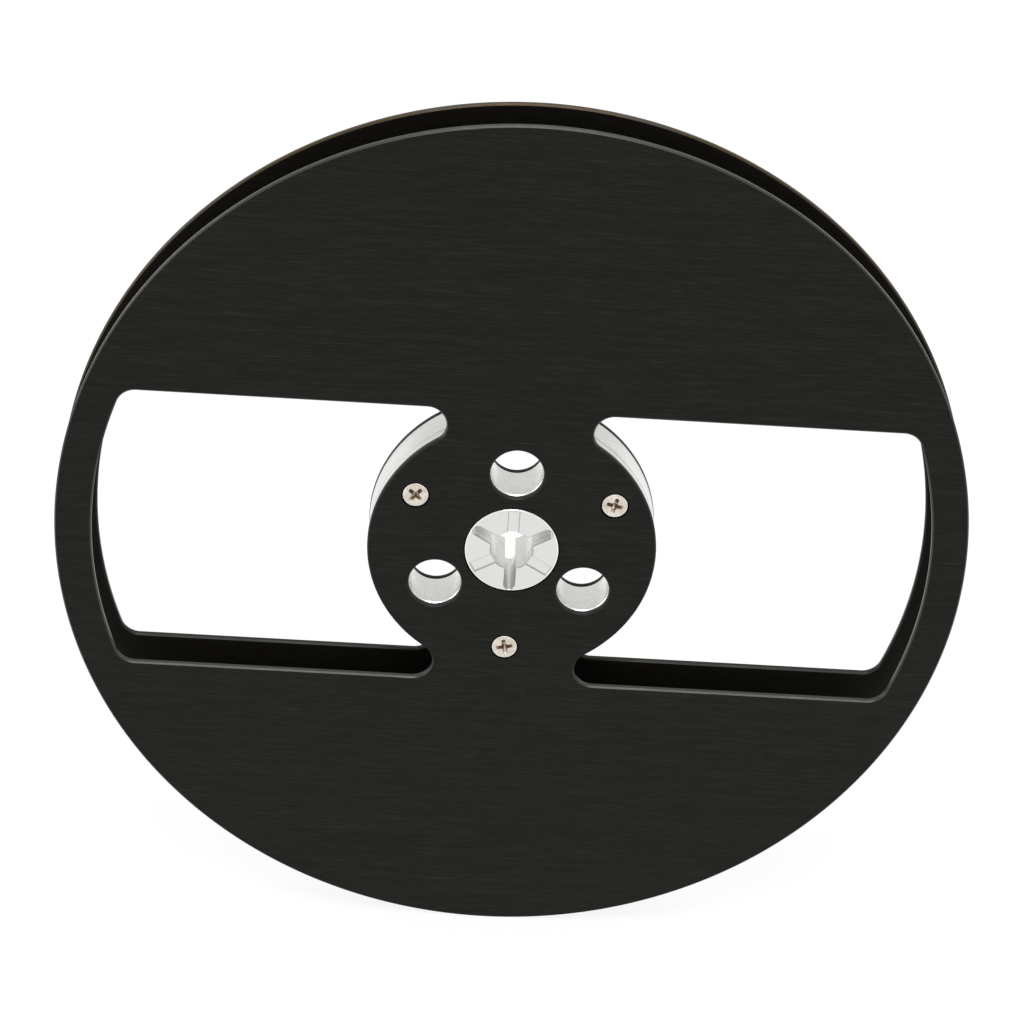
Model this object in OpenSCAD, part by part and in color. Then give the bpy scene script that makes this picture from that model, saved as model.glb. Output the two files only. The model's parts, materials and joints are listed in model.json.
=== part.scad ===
// Take-up reel for quarter-inch tape: two anodised flanges screwed to a machined hub.
// The reel stands upright. Its axis lies along Y, the front flange faces -Y and +Z is up.
// The origin is the centre of the spindle bore, halfway through the reel's width.

/* [Reel] */
// Outside diameter of the two flanges
flange_d = 178; // [140:1:270]
// Width of the reel over the two flanges
reel_w = 11.9; // [9:0.1:20]

/* [Flanges] */
// Thickness of each flange
flange_t = 1.4; // [1:0.1:2.5]
// Chamfer on the edges of the rim, the windows and the finger holes
edge_c = 0.3; // [0.05:0.05:0.45]
// Width of the rim beyond the ends of the windows
rim_w = 7.15; // [4:0.05:20]
// How far the straight edges of a window stand beyond the hub disc
window_rise = 2.25; // [0.5:0.05:4]
// Radius of the window corners
corner_r = 3.9; // [2.5:0.1:8]
// How far the hub disc of a flange stands out beyond the drum
disc_step = 0.1; // [0:0.05:1]

/* [Hub] */
// Diameter of the drum that the tape is wound on
drum_d = 56.2; // [46:0.1:100]
// Distance of the scribed line on the drum from the front flange
line_inset = 2; // [0.5:0.1:4]
// Width of the scribed line
line_w = 0.3; // [0.1:0.05:0.6]
// Diameter of the boss that the flanges are centred on
boss_d = 18.4; // [16:0.1:24]
// Chamfer around each end of the boss
boss_c = 0.25; // [0.05:0.05:0.5]
// Clearance all round between the boss and a flange
boss_gap = 0.05; // [0.02:0.01:0.2]
// Diameter of the bore that fits the deck's spindle
bore_d = 8.3; // [7:0.1:10]
// Number of driving slots that open off the bore
slot_n = 3; // [3:1:3]
// Width of the driving slots and of the grooves between them
slot_w = 2.1; // [1.5:0.1:3]
// Wall left between the end of a driving slot and the boss's edge
slot_end_wall = 0.35; // [0.3:0.05:2]
// Depth of the grooves in each face of the boss
groove_depth = 0.3; // [0.1:0.05:1]
// Wall left between the end of a groove and the boss's edge
groove_end_wall = 0.6; // [0.4:0.05:2]

/* [Finger holes] */
// Diameter of the three round holes through the reel
finger_d = 10.4; // [6:0.1:13]
// Wall between the boss and a round hole
finger_wall = 2.4; // [1:0.1:4]

/* [Screws] */
// Diameter of the screw threads and of the holes tapped for them
screw_d = 2.5; // [2:0.1:3]
// Diameter of the screw heads
head_d = 5; // [4.4:0.1:6]
// Height of the straight edge round a screw head
head_land = 0.15; // [0.05:0.05:0.4]
// How far a screw head is sunk below the flange's face
head_sink = 0.1; // [0:0.05:0.3]
// Distance of a screw's axis in from the drum's surface
screw_inset = 5.8; // [4:0.1:8]
// Gap between the tips of two screws that share a threaded hole
tip_gap = 0.9; // [0.4:0.1:2]
// Clearance all round a screw in its flange
shank_gap = 0.2; // [0.1:0.05:0.4]
// Span of the cross recess in a screw head
recess_span = 3.2; // [2:0.1:3.6]
// Width of each wing of the cross recess
recess_w = 0.7; // [0.4:0.05:0.9]
// Depth of the cross recess
recess_depth = 0.9; // [0.4:0.1:1.2]

/* [Hidden] */

ANODISED = [0.14, 0.14, 0.135];
MACHINED = [0.84, 0.84, 0.82];
NICKEL = [0.82, 0.78, 0.72];

ROUND_FN = 180;      // facets on the large circles
HOLE_FN = 64;        // facets on the small circles
PAST = 0.2;          // how far a cutter runs past the face it cuts
RECESS_TURNS = [46, 79, 12, 65, 12, 33];   // how far each screw's cross is turned, in degrees

half_w = reel_w / 2;
half_t = flange_t / 2;
flange_r = flange_d / 2;
drum_r = drum_d / 2;
drum_w = reel_w - 2 * flange_t;
boss_r = boss_d / 2;
bore_r = bore_d / 2;
finger_r = finger_d / 2;

disc_r = drum_r + disc_step;              // hub disc of a flange, between its windows
window_r = flange_r - rim_w;              // outer arc of a window
window_y = disc_r + window_rise;          // straight edges of a window, from the centre
corner_y = window_y - corner_r;
inner_corner = [sqrt(pow(disc_r + corner_r, 2) - pow(corner_y, 2)), corner_y];
outer_corner = [sqrt(pow(window_r - corner_r, 2) - pow(corner_y, 2)), corner_y];

finger_pos = boss_r + finger_wall + finger_r;
screw_pos = drum_r - screw_inset;
seat_r = head_d / 2 + head_land + head_sink;    // countersink where it meets the face
slot_turn = 360 / slot_n;
slot_at = 30;                             // first driving slot and first screw, from +X
finger_at = slot_at + slot_turn / 2;      // first finger hole and first groove

// The pieces are drawn lying flat, seen from the front, and then stood upright.
module upright() {
    rotate([90, 0, 0]) children();
}

// Turns a child to the three places round the axis that start at an angle.
module three_round(start) {
    for (i = [0 : slot_n - 1]) rotate([0, 0, start + i * slot_turn]) children();
}

// Round form through a plate with chamfered edges: grow is 1 for a hole, -1 for a disc.
module plate_round(r, grow, past) {
    edge = r + grow * (edge_c + past);
    z = half_t + past;
    rotate_extrude($fn = r > corner_r * 2 ? ROUND_FN : HOLE_FN)
        polygon([[0, -z], [edge, -z], [r, edge_c - half_t], [r, half_t - edge_c], [edge, z], [0, z]]);
}

// Straight-sided form through a plate, half as high as it says, with chamfered edges.
module plate_slot(y, past) {
    edge = y + edge_c + past;
    z = half_t + past;
    rotate([90, 0, 90]) linear_extrude(flange_r)
        polygon([[-edge, -z], [edge, -z], [y, edge_c - half_t], [y, half_t - edge_c], [edge, z],
                 [-edge, z], [-y, half_t - edge_c], [-y, edge_c - half_t]]);
}

// What a rounded corner leaves standing: a wedge from the corner's centre, less the round.
module corner_fill(centre, sweep) {
    reach = flange_r;
    difference() {
        translate([centre.x, centre.y, -half_t - 2 * PAST]) linear_extrude(flange_t + 4 * PAST)
            polygon(concat([[0, 0]], [for (a = sweep) reach * [cos(a), sin(a)]]));
        translate([centre.x, centre.y, 0]) plate_round(corner_r, 1, 3 * PAST);
    }
}

// The right-hand window: an arc by the rim, two straight edges and the hub disc's arc.
module window_cut() {
    inward = 180 + atan2(inner_corner.y, inner_corner.x);
    outward = atan2(outer_corner.y, outer_corner.x);
    difference() {
        intersection() {
            plate_round(window_r, 1, PAST);
            plate_slot(window_y, PAST);
        }
        plate_round(disc_r, -1, 2 * PAST);
        for (down = [0, 1]) mirror([0, down, 0]) {
            corner_fill(inner_corner, [90, 135, 180, inward]);
            corner_fill(outer_corner, [outward, 45, 90]);
        }
    }
}

// Seat of one screw, cut down from the face: countersink, then a hole of radius hole_r.
module screw_seat(hole_r) {
    translate([0, 0, -seat_r]) cylinder(r1 = 0, r2 = seat_r + PAST, h = seat_r + PAST, $fn = HOLE_FN);
    translate([0, 0, -half_w]) cylinder(r = hole_r, h = half_w + PAST, $fn = HOLE_FN);
}

// One flange, its outer face up and centred on its own thickness.
module flange() {
    difference() {
        plate_round(flange_r, -1, 0);
        for (left = [0, 1]) mirror([left, 0, 0]) window_cut();
        cylinder(r = boss_r + boss_gap, h = flange_t + 2 * PAST, center = true, $fn = ROUND_FN);
        three_round(finger_at) translate([finger_pos, 0, 0]) plate_round(finger_r, 1, PAST);
        three_round(slot_at) translate([screw_pos, 0, half_t]) screw_seat(screw_d / 2 + shank_gap);
    }
}

module front_flange() {
    color(ANODISED) upright() translate([0, 0, half_w - half_t]) flange();
}

module rear_flange() {
    color(ANODISED) upright() mirror([0, 0, 1]) translate([0, 0, half_w - half_t]) flange();
}

// Driving slot off the bore, with a round end, through the whole hub.
module driving_slot() {
    end = boss_r - slot_end_wall - slot_w / 2;
    translate([0, -slot_w / 2, -half_w - PAST]) cube([end, slot_w, reel_w + 2 * PAST]);
    translate([end, 0, 0]) cylinder(d = slot_w, h = reel_w + 2 * PAST, center = true, $fn = HOLE_FN);
}

// Shallow square-ended groove in the face at the top of the hub.
module face_groove() {
    translate([0, -slot_w / 2, half_w - groove_depth])
        cube([boss_r - groove_end_wall, slot_w, groove_depth + PAST]);
}

// Finger hole through the drum, chamfered where it meets the flanges.
module finger_bore() {
    cylinder(r = finger_r, h = reel_w, center = true, $fn = HOLE_FN);
    for (end = [0, 1]) mirror([0, 0, end]) translate([0, 0, drum_w / 2 - edge_c])
        cylinder(r1 = finger_r, r2 = finger_r + edge_c + PAST, h = edge_c + PAST, $fn = HOLE_FN);
}

// Half section of the hub: bore, boss, drum and the scribed line on the drum.
module hub_section() {
    line_z = drum_w / 2 - line_inset;
    polygon([[bore_r, -half_w], [boss_r - boss_c, -half_w], [boss_r, boss_c - half_w],
             [boss_r, -drum_w / 2], [drum_r, -drum_w / 2],
             [drum_r, line_z - line_w / 2], [drum_r - line_w / 2, line_z], [drum_r, line_z + line_w / 2],
             [drum_r, drum_w / 2], [boss_r, drum_w / 2],
             [boss_r, half_w - boss_c], [boss_r - boss_c, half_w], [bore_r, half_w]]);
}

module hub() {
    color(MACHINED) upright() difference() {
        rotate_extrude($fn = ROUND_FN) hub_section();
        three_round(slot_at) driving_slot();
        three_round(finger_at) translate([finger_pos, 0, 0]) finger_bore();
        for (end = [0, 1]) mirror([0, 0, end]) {
            three_round(finger_at) face_groove();
        }
        three_round(slot_at) translate([screw_pos, 0, 0]) {
            for (end = [0, 1]) mirror([0, 0, end]) translate([0, 0, half_w])
                screw_seat(screw_d / 2);
        }
    }
}

// Countersunk screw with its head up, measured from the face that it is sunk into.
module screw(turn) {
    top = -head_sink;
    neck = top - head_land - (head_d - screw_d) / 2;
    tip = tip_gap / 2 - half_w;
    tip_c = screw_d / 8;
    difference() {
        rotate_extrude($fn = HOLE_FN)
            polygon([[0, tip], [screw_d / 2 - tip_c, tip], [screw_d / 2, tip + tip_c], [screw_d / 2, neck],
                     [head_d / 2, top - head_land], [head_d / 2, top], [0, top]]);
        rotate([0, 0, turn]) for (wing = [0, 90]) rotate([0, 0, wing])
            translate([-recess_span / 2, -recess_w / 2, top - recess_depth])
                cube([recess_span, recess_w, recess_depth + PAST]);
    }
}

// Screw number i, 0 to 5: three in the front flange and then three in the rear one.
module placed_screw(i) {
    color(NICKEL) upright() mirror([0, 0, i < slot_n ? 0 : 1])
        rotate([0, 0, slot_at + (i % slot_n) * slot_turn])
            translate([screw_pos, 0, half_w]) screw(RECESS_TURNS[i]);
}

module front_screw_1() { placed_screw(0); }
module front_screw_2() { placed_screw(1); }
module front_screw_3() { placed_screw(2); }
module rear_screw_1() { placed_screw(3); }
module rear_screw_2() { placed_screw(4); }
module rear_screw_3() { placed_screw(5); }

front_flange();
rear_flange();
hub();
front_screw_1();
front_screw_2();
front_screw_3();
rear_screw_1();
rear_screw_2();
rear_screw_3();
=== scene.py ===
"""Take-up reel for quarter-inch tape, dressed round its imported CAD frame.

The reel stands upright with its axis along Y: the front flange faces -Y and +Z is up. Outlines are
drawn flat, seen from the front, with their height towards the front, and are then stood upright.
Sizes are in metres, in the same frame as the CAD part.
"""

import json
import logging
import math
from dataclasses import dataclass
from enum import Enum

import bmesh
import bpy
from mathutils import Matrix, Vector
from mathutils.geometry import tessellate_polygon

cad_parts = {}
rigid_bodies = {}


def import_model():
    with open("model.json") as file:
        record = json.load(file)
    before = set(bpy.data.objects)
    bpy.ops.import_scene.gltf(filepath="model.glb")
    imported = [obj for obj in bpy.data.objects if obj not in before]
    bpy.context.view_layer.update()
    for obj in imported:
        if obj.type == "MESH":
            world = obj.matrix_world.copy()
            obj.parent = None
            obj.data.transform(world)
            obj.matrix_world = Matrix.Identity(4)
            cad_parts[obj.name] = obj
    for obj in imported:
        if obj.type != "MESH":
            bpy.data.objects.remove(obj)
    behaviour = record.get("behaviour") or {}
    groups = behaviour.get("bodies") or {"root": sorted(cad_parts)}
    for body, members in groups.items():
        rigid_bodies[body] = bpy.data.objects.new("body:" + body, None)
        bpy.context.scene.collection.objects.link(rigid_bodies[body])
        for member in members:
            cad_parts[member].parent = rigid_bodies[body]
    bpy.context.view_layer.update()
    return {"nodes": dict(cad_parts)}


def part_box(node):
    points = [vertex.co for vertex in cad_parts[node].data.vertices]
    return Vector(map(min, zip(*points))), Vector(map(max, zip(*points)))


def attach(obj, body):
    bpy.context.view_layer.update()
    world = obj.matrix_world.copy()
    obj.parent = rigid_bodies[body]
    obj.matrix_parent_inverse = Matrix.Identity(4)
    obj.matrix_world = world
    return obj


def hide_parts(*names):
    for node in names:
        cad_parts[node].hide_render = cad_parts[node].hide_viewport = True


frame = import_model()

log = logging.getLogger("reel")

MM = 0.001
TURN = 2 * math.pi
WELD = 1e-6                       # vertices closer than this are one
LEVELS = 4                        # points down the edge of a plate's outline
# How a face is finished, as the mesh's edge attribute says it: bright cut edges on the flanges and painted
# highlight elsewhere above 0, painted shade below 0
BRIGHT, DULL, PLAIN, SHADED, DARK = 1.0, 0.3, 0.0, -0.4, -1.0
SHARP = math.radians(28)          # edges that turn by more than this stay crisp
MITRE = 0.3                       # a corner moves at most 1 / MITRE times as far as its sides
UPRIGHT = Matrix.Rotation(TURN / 4, 4, "X")
Point = tuple[float, float]
Loop = list[Point]
Ring = list[bmesh.types.BMVert]
Colour = tuple[float, float, float, float]


class Side(Enum):
    """Which face of the reel a piece belongs to, as its turn about the upright axis."""

    FRONT = 0.0
    REAR = math.pi

    @property
    def label(self) -> str:
        """The side as the names of pieces and nodes give it."""
        return self.name.lower()


# ---------------------------------------------------------------- shader and geometry trees


class Socket:
    """A node's output, with operators that add Math nodes to its tree."""

    def __init__(self, tree: "Tree", link: bpy.types.NodeSocket | None) -> None:
        """Keeps the tree and the output that it wraps, which an end node hasn't."""
        self.tree = tree
        self.link = link

    def math(self, operation: str, *others: "Socket | float", flipped: bool = False) -> "Socket":
        """Adds one Math node.

        Args:
            operation: Blender's name of the operation.
            others: The operands that come after this one.
            flipped: True if this socket is the second operand.

        Returns:
            The node's result.
        """
        operands = [self, *others]
        if flipped:
            operands.reverse()
        return self.tree.node("ShaderNodeMath", {"operation": operation}, dict(enumerate(operands)))

    def __add__(self, other: "Socket | float") -> "Socket":
        """self + other."""
        return self.math("ADD", other)

    def __sub__(self, other: "Socket | float") -> "Socket":
        """self - other."""
        return self.math("SUBTRACT", other)

    def __mul__(self, other: "Socket | float") -> "Socket":
        """self * other."""
        return self.math("MULTIPLY", other)

    def __truediv__(self, other: "Socket | float") -> "Socket":
        """self / other."""
        return self.math("DIVIDE", other)

    def __pow__(self, other: "Socket | float") -> "Socket":
        """self ** other."""
        return self.math("POWER", other)

    def __radd__(self, other: float) -> "Socket":
        """other + self."""
        return self.math("ADD", other, flipped=True)

    def __rsub__(self, other: float) -> "Socket":
        """other - self."""
        return self.math("SUBTRACT", other, flipped=True)

    def __rmul__(self, other: float) -> "Socket":
        """other * self."""
        return self.math("MULTIPLY", other, flipped=True)

    def __abs__(self) -> "Socket":
        """Absolute value."""
        return self.math("ABSOLUTE")

    def least(self, other: "Socket | float") -> "Socket":
        """The smaller of the two."""
        return self.math("MINIMUM", other)

    def most(self, other: "Socket | float") -> "Socket":
        """The larger of the two."""
        return self.math("MAXIMUM", other)

    def step(self, low: float, high: float) -> "Socket":
        """A smooth step from 0 at low to 1 at high."""
        return self.tree.node(
            "ShaderNodeMapRange",
            {"interpolation_type": "SMOOTHSTEP"},
            {"Value": self, "From Min": low, "From Max": high},
        )

    def other(self, name: str) -> "Socket":
        """Another output of the same node."""
        return Socket(self.tree, self.link.node.outputs[name])


class Tree:
    """Adds nodes to a shader or geometry tree."""

    def __init__(self, nodes: bpy.types.NodeTree) -> None:
        """Keeps the node tree that it fills."""
        self.nodes = nodes

    def node(
        self,
        kind: str,
        settings: dict[str, object] | None = None,
        values: dict[str | int, object] | None = None,
        output: str | int = 0,
    ) -> Socket:
        """Adds one node.

        Args:
            kind: The node's type.
            settings: Properties of the node, which are set first.
            values: A value or a Socket for each input, by identifier, name or number.
            output: The output that is returned, by identifier, name or number.

        Returns:
            The chosen output.
        """
        made = self.nodes.nodes.new(kind)
        for name, value in (settings or {}).items():
            setattr(made, name, value)
        for name, value in (values or {}).items():
            socket = self._pick(made.inputs, name)
            if isinstance(value, Socket):
                self.nodes.links.new(value.link, socket)
            else:
                socket.default_value = value
        return Socket(self, self._pick(made.outputs, output) if made.outputs else None)

    @staticmethod
    def _pick(sockets: bpy.types.bpy_prop_collection, name: str | int) -> bpy.types.NodeSocket:
        """Finds a socket by its number, its identifier or its name, in that order.

        Args:
            sockets: A node's inputs or outputs.
            name: What to look for.

        Returns:
            The socket.
        """
        if isinstance(name, int):
            return sockets[name]
        for socket in sockets:
            if socket.identifier == name:
                return socket
        return sockets[name]

    def pack(self, x: Socket | float, y: Socket | float, z: Socket | float) -> Socket:
        """A vector from three numbers."""
        return self.node("ShaderNodeCombineXYZ", {}, {0: x, 1: y, 2: z})

    def join(self, *parts: Socket) -> Socket:
        """Joins several geometries.

        Args:
            parts: The geometries.

        Returns:
            All of them as one.
        """
        joined = self.nodes.nodes.new("GeometryNodeJoinGeometry")
        for part in reversed(parts):
            self.nodes.links.new(part.link, joined.inputs[0])
        return Socket(self, joined.outputs[0])

    def blend(self, factor: Socket | float, a: object, b: object) -> Socket:
        """A colour between a and b."""
        return self.node(
            "ShaderNodeMix",
            {"data_type": "RGBA"},
            {"Factor_Float": factor, "A_Color": a, "B_Color": b},
            "Result_Color",
        )

    def noise(self, x: Socket | float, y: Socket | float, z: Socket | float, detail: float) -> Socket:
        """Noise from 0 to 1 whose cells are one unit wide in x, y and z."""
        values = {"Vector": self.pack(x, y, z), "Scale": 1.0, "Detail": detail, "Roughness": 0.5}
        return self.node("ShaderNodeTexNoise", {}, values, "Fac")

    def edge(self) -> tuple[Socket, Socket]:
        """How much bright edge or painted highlight, and how much painted shade, each face carries, both
        from 0 to 1.
        """
        edge = self.node("ShaderNodeAttribute", {"attribute_name": "edge"}, {}, "Fac")
        return edge.most(0.0), (0.0 - edge).most(0.0)

    def shader(self, values: dict[str | int, object]) -> Socket:
        """A surface shader."""
        return self.node("ShaderNodeBsdfPrincipled", {}, values)


@dataclass(frozen=True)
class Grain:
    """How fine a noise is, in cells to the metre along each direction."""

    across: float
    depth: float
    up: float
    detail: float = 2.0
    shift: float = 0.0      # moves it, so that it doesn't follow another noise


@dataclass(frozen=True)
class Place:
    """The object coordinates that every finish reads, split into what a machinist would name."""

    x: Socket
    depth: Socket       # along the reel's axis, towards the rear
    z: Socket
    radius: Socket      # from the reel's axis
    around: tuple[Socket, Socket]   # cosine and sine of the angle about the axis

    @classmethod
    def of(cls, tree: Tree) -> "Place":
        """Reads the object coordinates.

        Args:
            tree: The tree that needs them.

        Returns:
            The coordinates, split.
        """
        at = tree.node("ShaderNodeTexCoord", {}, {}, "Object")
        x = tree.node("ShaderNodeSeparateXYZ", {}, {0: at})
        depth, z = x.other("Y"), x.other("Z")
        radius = (x * x + z * z) ** 0.5
        safe = radius.most(0.1 * MM)
        return cls(x, depth, z, radius, (x / safe, z / safe))

    def noise(self, grain: Grain) -> Socket:
        """Noise of a stated grain, straight along X, Y and Z."""
        x, depth, z = self.x * grain.across + grain.shift, self.depth * grain.depth, self.z * grain.up
        return self.x.tree.noise(x, depth, z, grain.detail)


@dataclass(frozen=True)
class Finish:
    """What all of the reel's finishes share."""

    name: str

    def material(self) -> bpy.types.Material:
        """Builds the material.

        Returns:
            A new material with this finish's nodes.
        """
        made = bpy.data.materials.new(self.name)
        made.use_nodes = True
        made.node_tree.nodes.clear()
        tree = Tree(made.node_tree)
        surface = self.surface(tree, Place.of(tree))
        tree.node("ShaderNodeOutputMaterial", {}, {"Surface": surface})
        return made

    def surface(self, tree: Tree, place: Place) -> Socket:
        """The shader of this finish."""
        raise NotImplementedError

    @staticmethod
    def bump(tree: Tree, height: Socket, depth: float, strength: float = 1.0) -> Socket:
        """A normal from a height of 0 to 1 that stands for so many metres."""
        return tree.node("ShaderNodeBump", {}, {"Height": height, "Distance": depth, "Strength": strength})


@dataclass(frozen=True)
class BlackAnodised(Finish):
    """Black anodised aluminium that was first brushed in straight lines along X."""

    name: str = "black_anodised"
    dark: Colour = (0.0030, 0.0030, 0.0027, 1)
    pale: Colour = (0.0150, 0.0149, 0.0136, 1)
    warm: Colour = (0.0078, 0.0062, 0.0042, 1)
    cut: Colour = (0.060, 0.060, 0.057, 1)
    bronze: Colour = (0.070, 0.049, 0.028, 1)
    # painted shade in the gaps round the screws' heads and the hub's boss
    soot: Colour = (0.0006, 0.0006, 0.0006, 1)
    film: Colour = (1.0, 1.0, 0.93, 1)
    gloss: float = 0.145         # specular level of the dyed film
    thin: float = 0.75           # how far the metal shows through on a cut edge
    rim_from: float = 85 * MM    # the rim's edge lies outside this radius
    smooth: float = 0.30         # roughness in a bright hairline
    matt: float = 0.46           # roughness between hairlines
    groove: float = 0.006 * MM   # depth of the hairlines
    inner_to: float = 5.5 * MM   # the rear flange's inner face lies in front of this depth
    bands: Grain = Grain(14, 40, 700)
    lines: Grain = Grain(130, 90, 4600)
    hairs: Grain = Grain(420, 300, 8800, detail=1)
    scratches: Grain = Grain(160, 60, 5600, detail=1, shift=3.7)
    mottle: Grain = Grain(60, 900, 60, detail=4)

    def surface(self, tree: Tree, place: Place) -> Socket:
        """Hairlines of three widths, short bright scratches, thin film on the cut edges, and painted shade
        in the seats, round the boss and on the rear flange's cut edges inside the rim.

        Args:
            tree: The material's tree.
            place: The object coordinates.

        Returns:
            The shader.
        """
        streaks = (place.noise(self.bands) * 0.15 + place.noise(self.lines) * 0.45
                   + place.noise(self.hairs) * 0.40)
        scratch = place.noise(self.scratches).step(0.60, 0.76)
        tone = streaks.step(0.38, 0.66) * 0.45 + scratch * 0.65
        # the first mask is the bright cut edges, the second painted shade in the screw seats and round the
        # boss
        chamfer, seat = tree.edge()
        rear = place.depth.step(0.0, 2 * MM)
        inner = rear * (1 - place.depth.step(self.inner_to, self.inner_to + 0.3 * MM))
        face = tree.blend(tone.least(1.0), self.dark, self.pale)
        face = tree.blend(inner * 0.4, face, self.warm)
        rim = rear * place.radius.step(self.rim_from, self.rim_from + MM)
        cut = tree.blend(rim * place.noise(self.mottle).step(0.25, 0.60), self.cut, self.bronze)
        # painted shade on the rear flange's cut edges other than its rim, which lie between the flanges
        cut = tree.blend(rear * (1 - rim) * 0.8, cut, self.pale)
        roughness = self.matt - (self.matt - self.smooth) * tone
        return tree.shader({
            "Base Color": tree.blend(seat, tree.blend(chamfer, face, cut), self.soot),
            "Metallic": chamfer * self.thin + seat,
            "Roughness": roughness - chamfer * 0.06 + seat * 0.4,
            "Specular IOR Level": self.gloss,
            "Specular Tint": self.film,
            "Normal": self.bump(tree, streaks, self.groove),
        })


@dataclass(frozen=True)
class MachinedAluminium(Finish):
    """Bare aluminium, turned on its faces and drum and milled in its slots."""

    name: str = "machined_aluminium"
    bright: Colour = (0.825, 0.826, 0.800, 1)
    dull: Colour = (0.740, 0.743, 0.718, 1)
    faced: Colour = (0.700, 0.700, 0.685, 1)
    shade: Colour = (0.66, 0.665, 0.645, 1)
    lit: Colour = (0.97, 0.97, 0.95, 1)
    # painted highlight on the boss's edge and the mouths of the bores
    burnish: Colour = (0.97, 0.97, 0.96, 1)
    # painted shade in the creases: the scribed line, the broken edges and the groove walls
    scribe: Colour = (0.30, 0.30, 0.29, 1)
    smooth: float = 0.24             # roughness in a bright ring
    matt: float = 0.40               # roughness between rings
    ridge: float = 0.004 * MM        # depth of the tool's marks
    grain: Grain = Grain(900, 1500, 900)
    slot_from: float = 4.3 * MM      # the driving slots' flat walls start outside this radius
    slot_to: float = 7.9 * MM        # and end inside this one
    boss_face: float = 5.6 * MM      # slots are milled below this distance from the middle

    def surface(self, tree: Tree, place: Place) -> Socket:
        """Fine rings on the turned faces, a smooth boss, milled lines in the slots, painted highlight on
        the bright edges and painted shade in the creases.

        Args:
            tree: The material's tree.
            place: The object coordinates.

        Returns:
            The shader.
        """
        cosine, sine = place.around
        rings = tree.noise(place.radius * 5200, place.depth * 4300, cosine * 0.9 + sine * 0.4, 2)
        broad = tree.noise(cosine * 2.6, sine * 2.6, place.depth * 160, 3)
        turned = rings * 0.30 + broad * 0.35 + place.noise(self.grain) * 0.35
        tone = turned.step(0.30, 0.70)
        boss = abs(place.depth).step(self.boss_face - 0.1 * MM, self.boss_face)
        mill = tree.noise(place.radius * 60, place.depth * 1500, cosine * 2 + sine, 2)
        past_bore = place.radius.step(self.slot_from, self.slot_from + 0.6 * MM)
        at_end = place.radius.step(self.slot_to - 0.2 * MM, self.slot_to)
        milled = past_bore * (1 - at_end) * (1 - boss)
        # the first mask is painted highlight on the bright edges, the second painted shade in the creases
        rubbed, scribed = tree.edge()
        lined = tree.blend(mill.step(0.44, 0.58), self.shade, self.lit)
        colour = tree.blend(boss * 0.85, tree.blend(tone, self.dull, self.bright), self.faced)
        colour = tree.blend(milled, colour, lined)
        colour = tree.blend(scribed * 0.8, tree.blend(rubbed, colour, self.burnish), self.scribe)
        return tree.shader({
            "Base Color": colour,
            "Metallic": 1.0,
            "Roughness": self.matt - (self.matt - self.smooth) * tone - rubbed * 0.06,
            "Normal": self.bump(tree, turned * (1 - boss * 0.6) + milled * mill * 1.5, self.ridge),
        })


@dataclass(frozen=True)
class WarmNickel(Finish):
    """Nickel plating with a slight warm cast, painted shade in the cross recesses and a painted highlight
    round the heads' edges.
    """

    name: str = "warm_nickel"
    plate: Colour = (0.775, 0.720, 0.640, 1)
    worn: Colour = (0.560, 0.505, 0.430, 1)
    # painted highlight round the heads' edges
    rubbed: Colour = (0.960, 0.915, 0.850, 1)
    # painted shade in the cross recesses
    grime: Colour = (0.40, 0.31, 0.23, 1)
    head_z: float = 5.85 * MM        # distance of the heads' faces from the middle of the reel
    grime_from: float = 0.10 * MM    # depth in a recess at which the painted shade starts
    grime_full: float = 0.75 * MM    # and at which it covers the plating
    pit: float = 0.01 * MM           # depth of the pits
    pits: Grain = Grain(2600, 2600, 2600, detail=3)
    clouds: Grain = Grain(500, 500, 500)

    def surface(self, tree: Tree, place: Place) -> Socket:
        """Plating with fine pits, a painted highlight round the heads' edges and painted shade inside the
        recesses.

        Args:
            tree: The material's tree.
            place: The object coordinates.

        Returns:
            The shader.
        """
        pits, cloud = place.noise(self.pits), place.noise(self.clouds)
        plating = tree.blend((pits * 0.5 + cloud * 0.5).step(0.36, 0.64), self.worn, self.plate)
        # painted highlight round the heads' edges
        rubbed, _ = tree.edge()
        plating = tree.blend(rubbed, plating, self.rubbed)
        # painted shade, darker deeper in the recesses
        deep = (self.head_z - abs(place.depth)).step(self.grime_from, self.grime_full)
        return tree.shader({
            "Base Color": tree.blend(deep * (0.7 + cloud * 0.3), plating, self.grime),
            "Metallic": 1.0,
            "Roughness": 0.20 + pits * 0.16,
            "Normal": self.bump(tree, pits, self.pit, 0.6),
        })


@dataclass(frozen=True)
class StudioFloor(Finish):
    """Pale seamless floor that holds almost no shadow."""

    name: str = "studio_floor"
    pale: Colour = (0.16, 0.16, 0.16, 1)
    paler: Colour = (0.18, 0.18, 0.18, 1)
    glow: float = 0.87               # its own light

    def surface(self, tree: Tree, place: Place) -> Socket:
        """Matt grey with a faint mottle, and light of its own that makes it pale."""
        mottle = tree.noise(place.x * 3, place.depth * 3, 0.0, 2)
        return tree.shader({
            "Base Color": tree.blend(mottle, self.pale, self.paler),
            "Roughness": 0.9,
            "Specular IOR Level": 0.0,
            "Emission Color": (1, 1, 1, 1),
            "Emission Strength": self.glow,
        })


# ---------------------------------------------------------------- outlines


def polar(radius: float, angle: float, centre: Point = (0.0, 0.0)) -> Point:
    """The point at a radius and an angle from a centre."""
    return centre[0] + radius * math.cos(angle), centre[1] + radius * math.sin(angle)


def arc(centre: Point, radius: float, start: float, end: float, count: int) -> Loop:
    """Points along an arc from one angle to another in so many steps, both ends included."""
    return [polar(radius, start + (end - start) * i / count, centre) for i in range(count + 1)]


def circle(centre: Point, radius: float, count: int) -> Loop:
    """Points round a circle, anticlockwise."""
    return arc(centre, radius, 0, TURN, count)[:-1]


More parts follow.
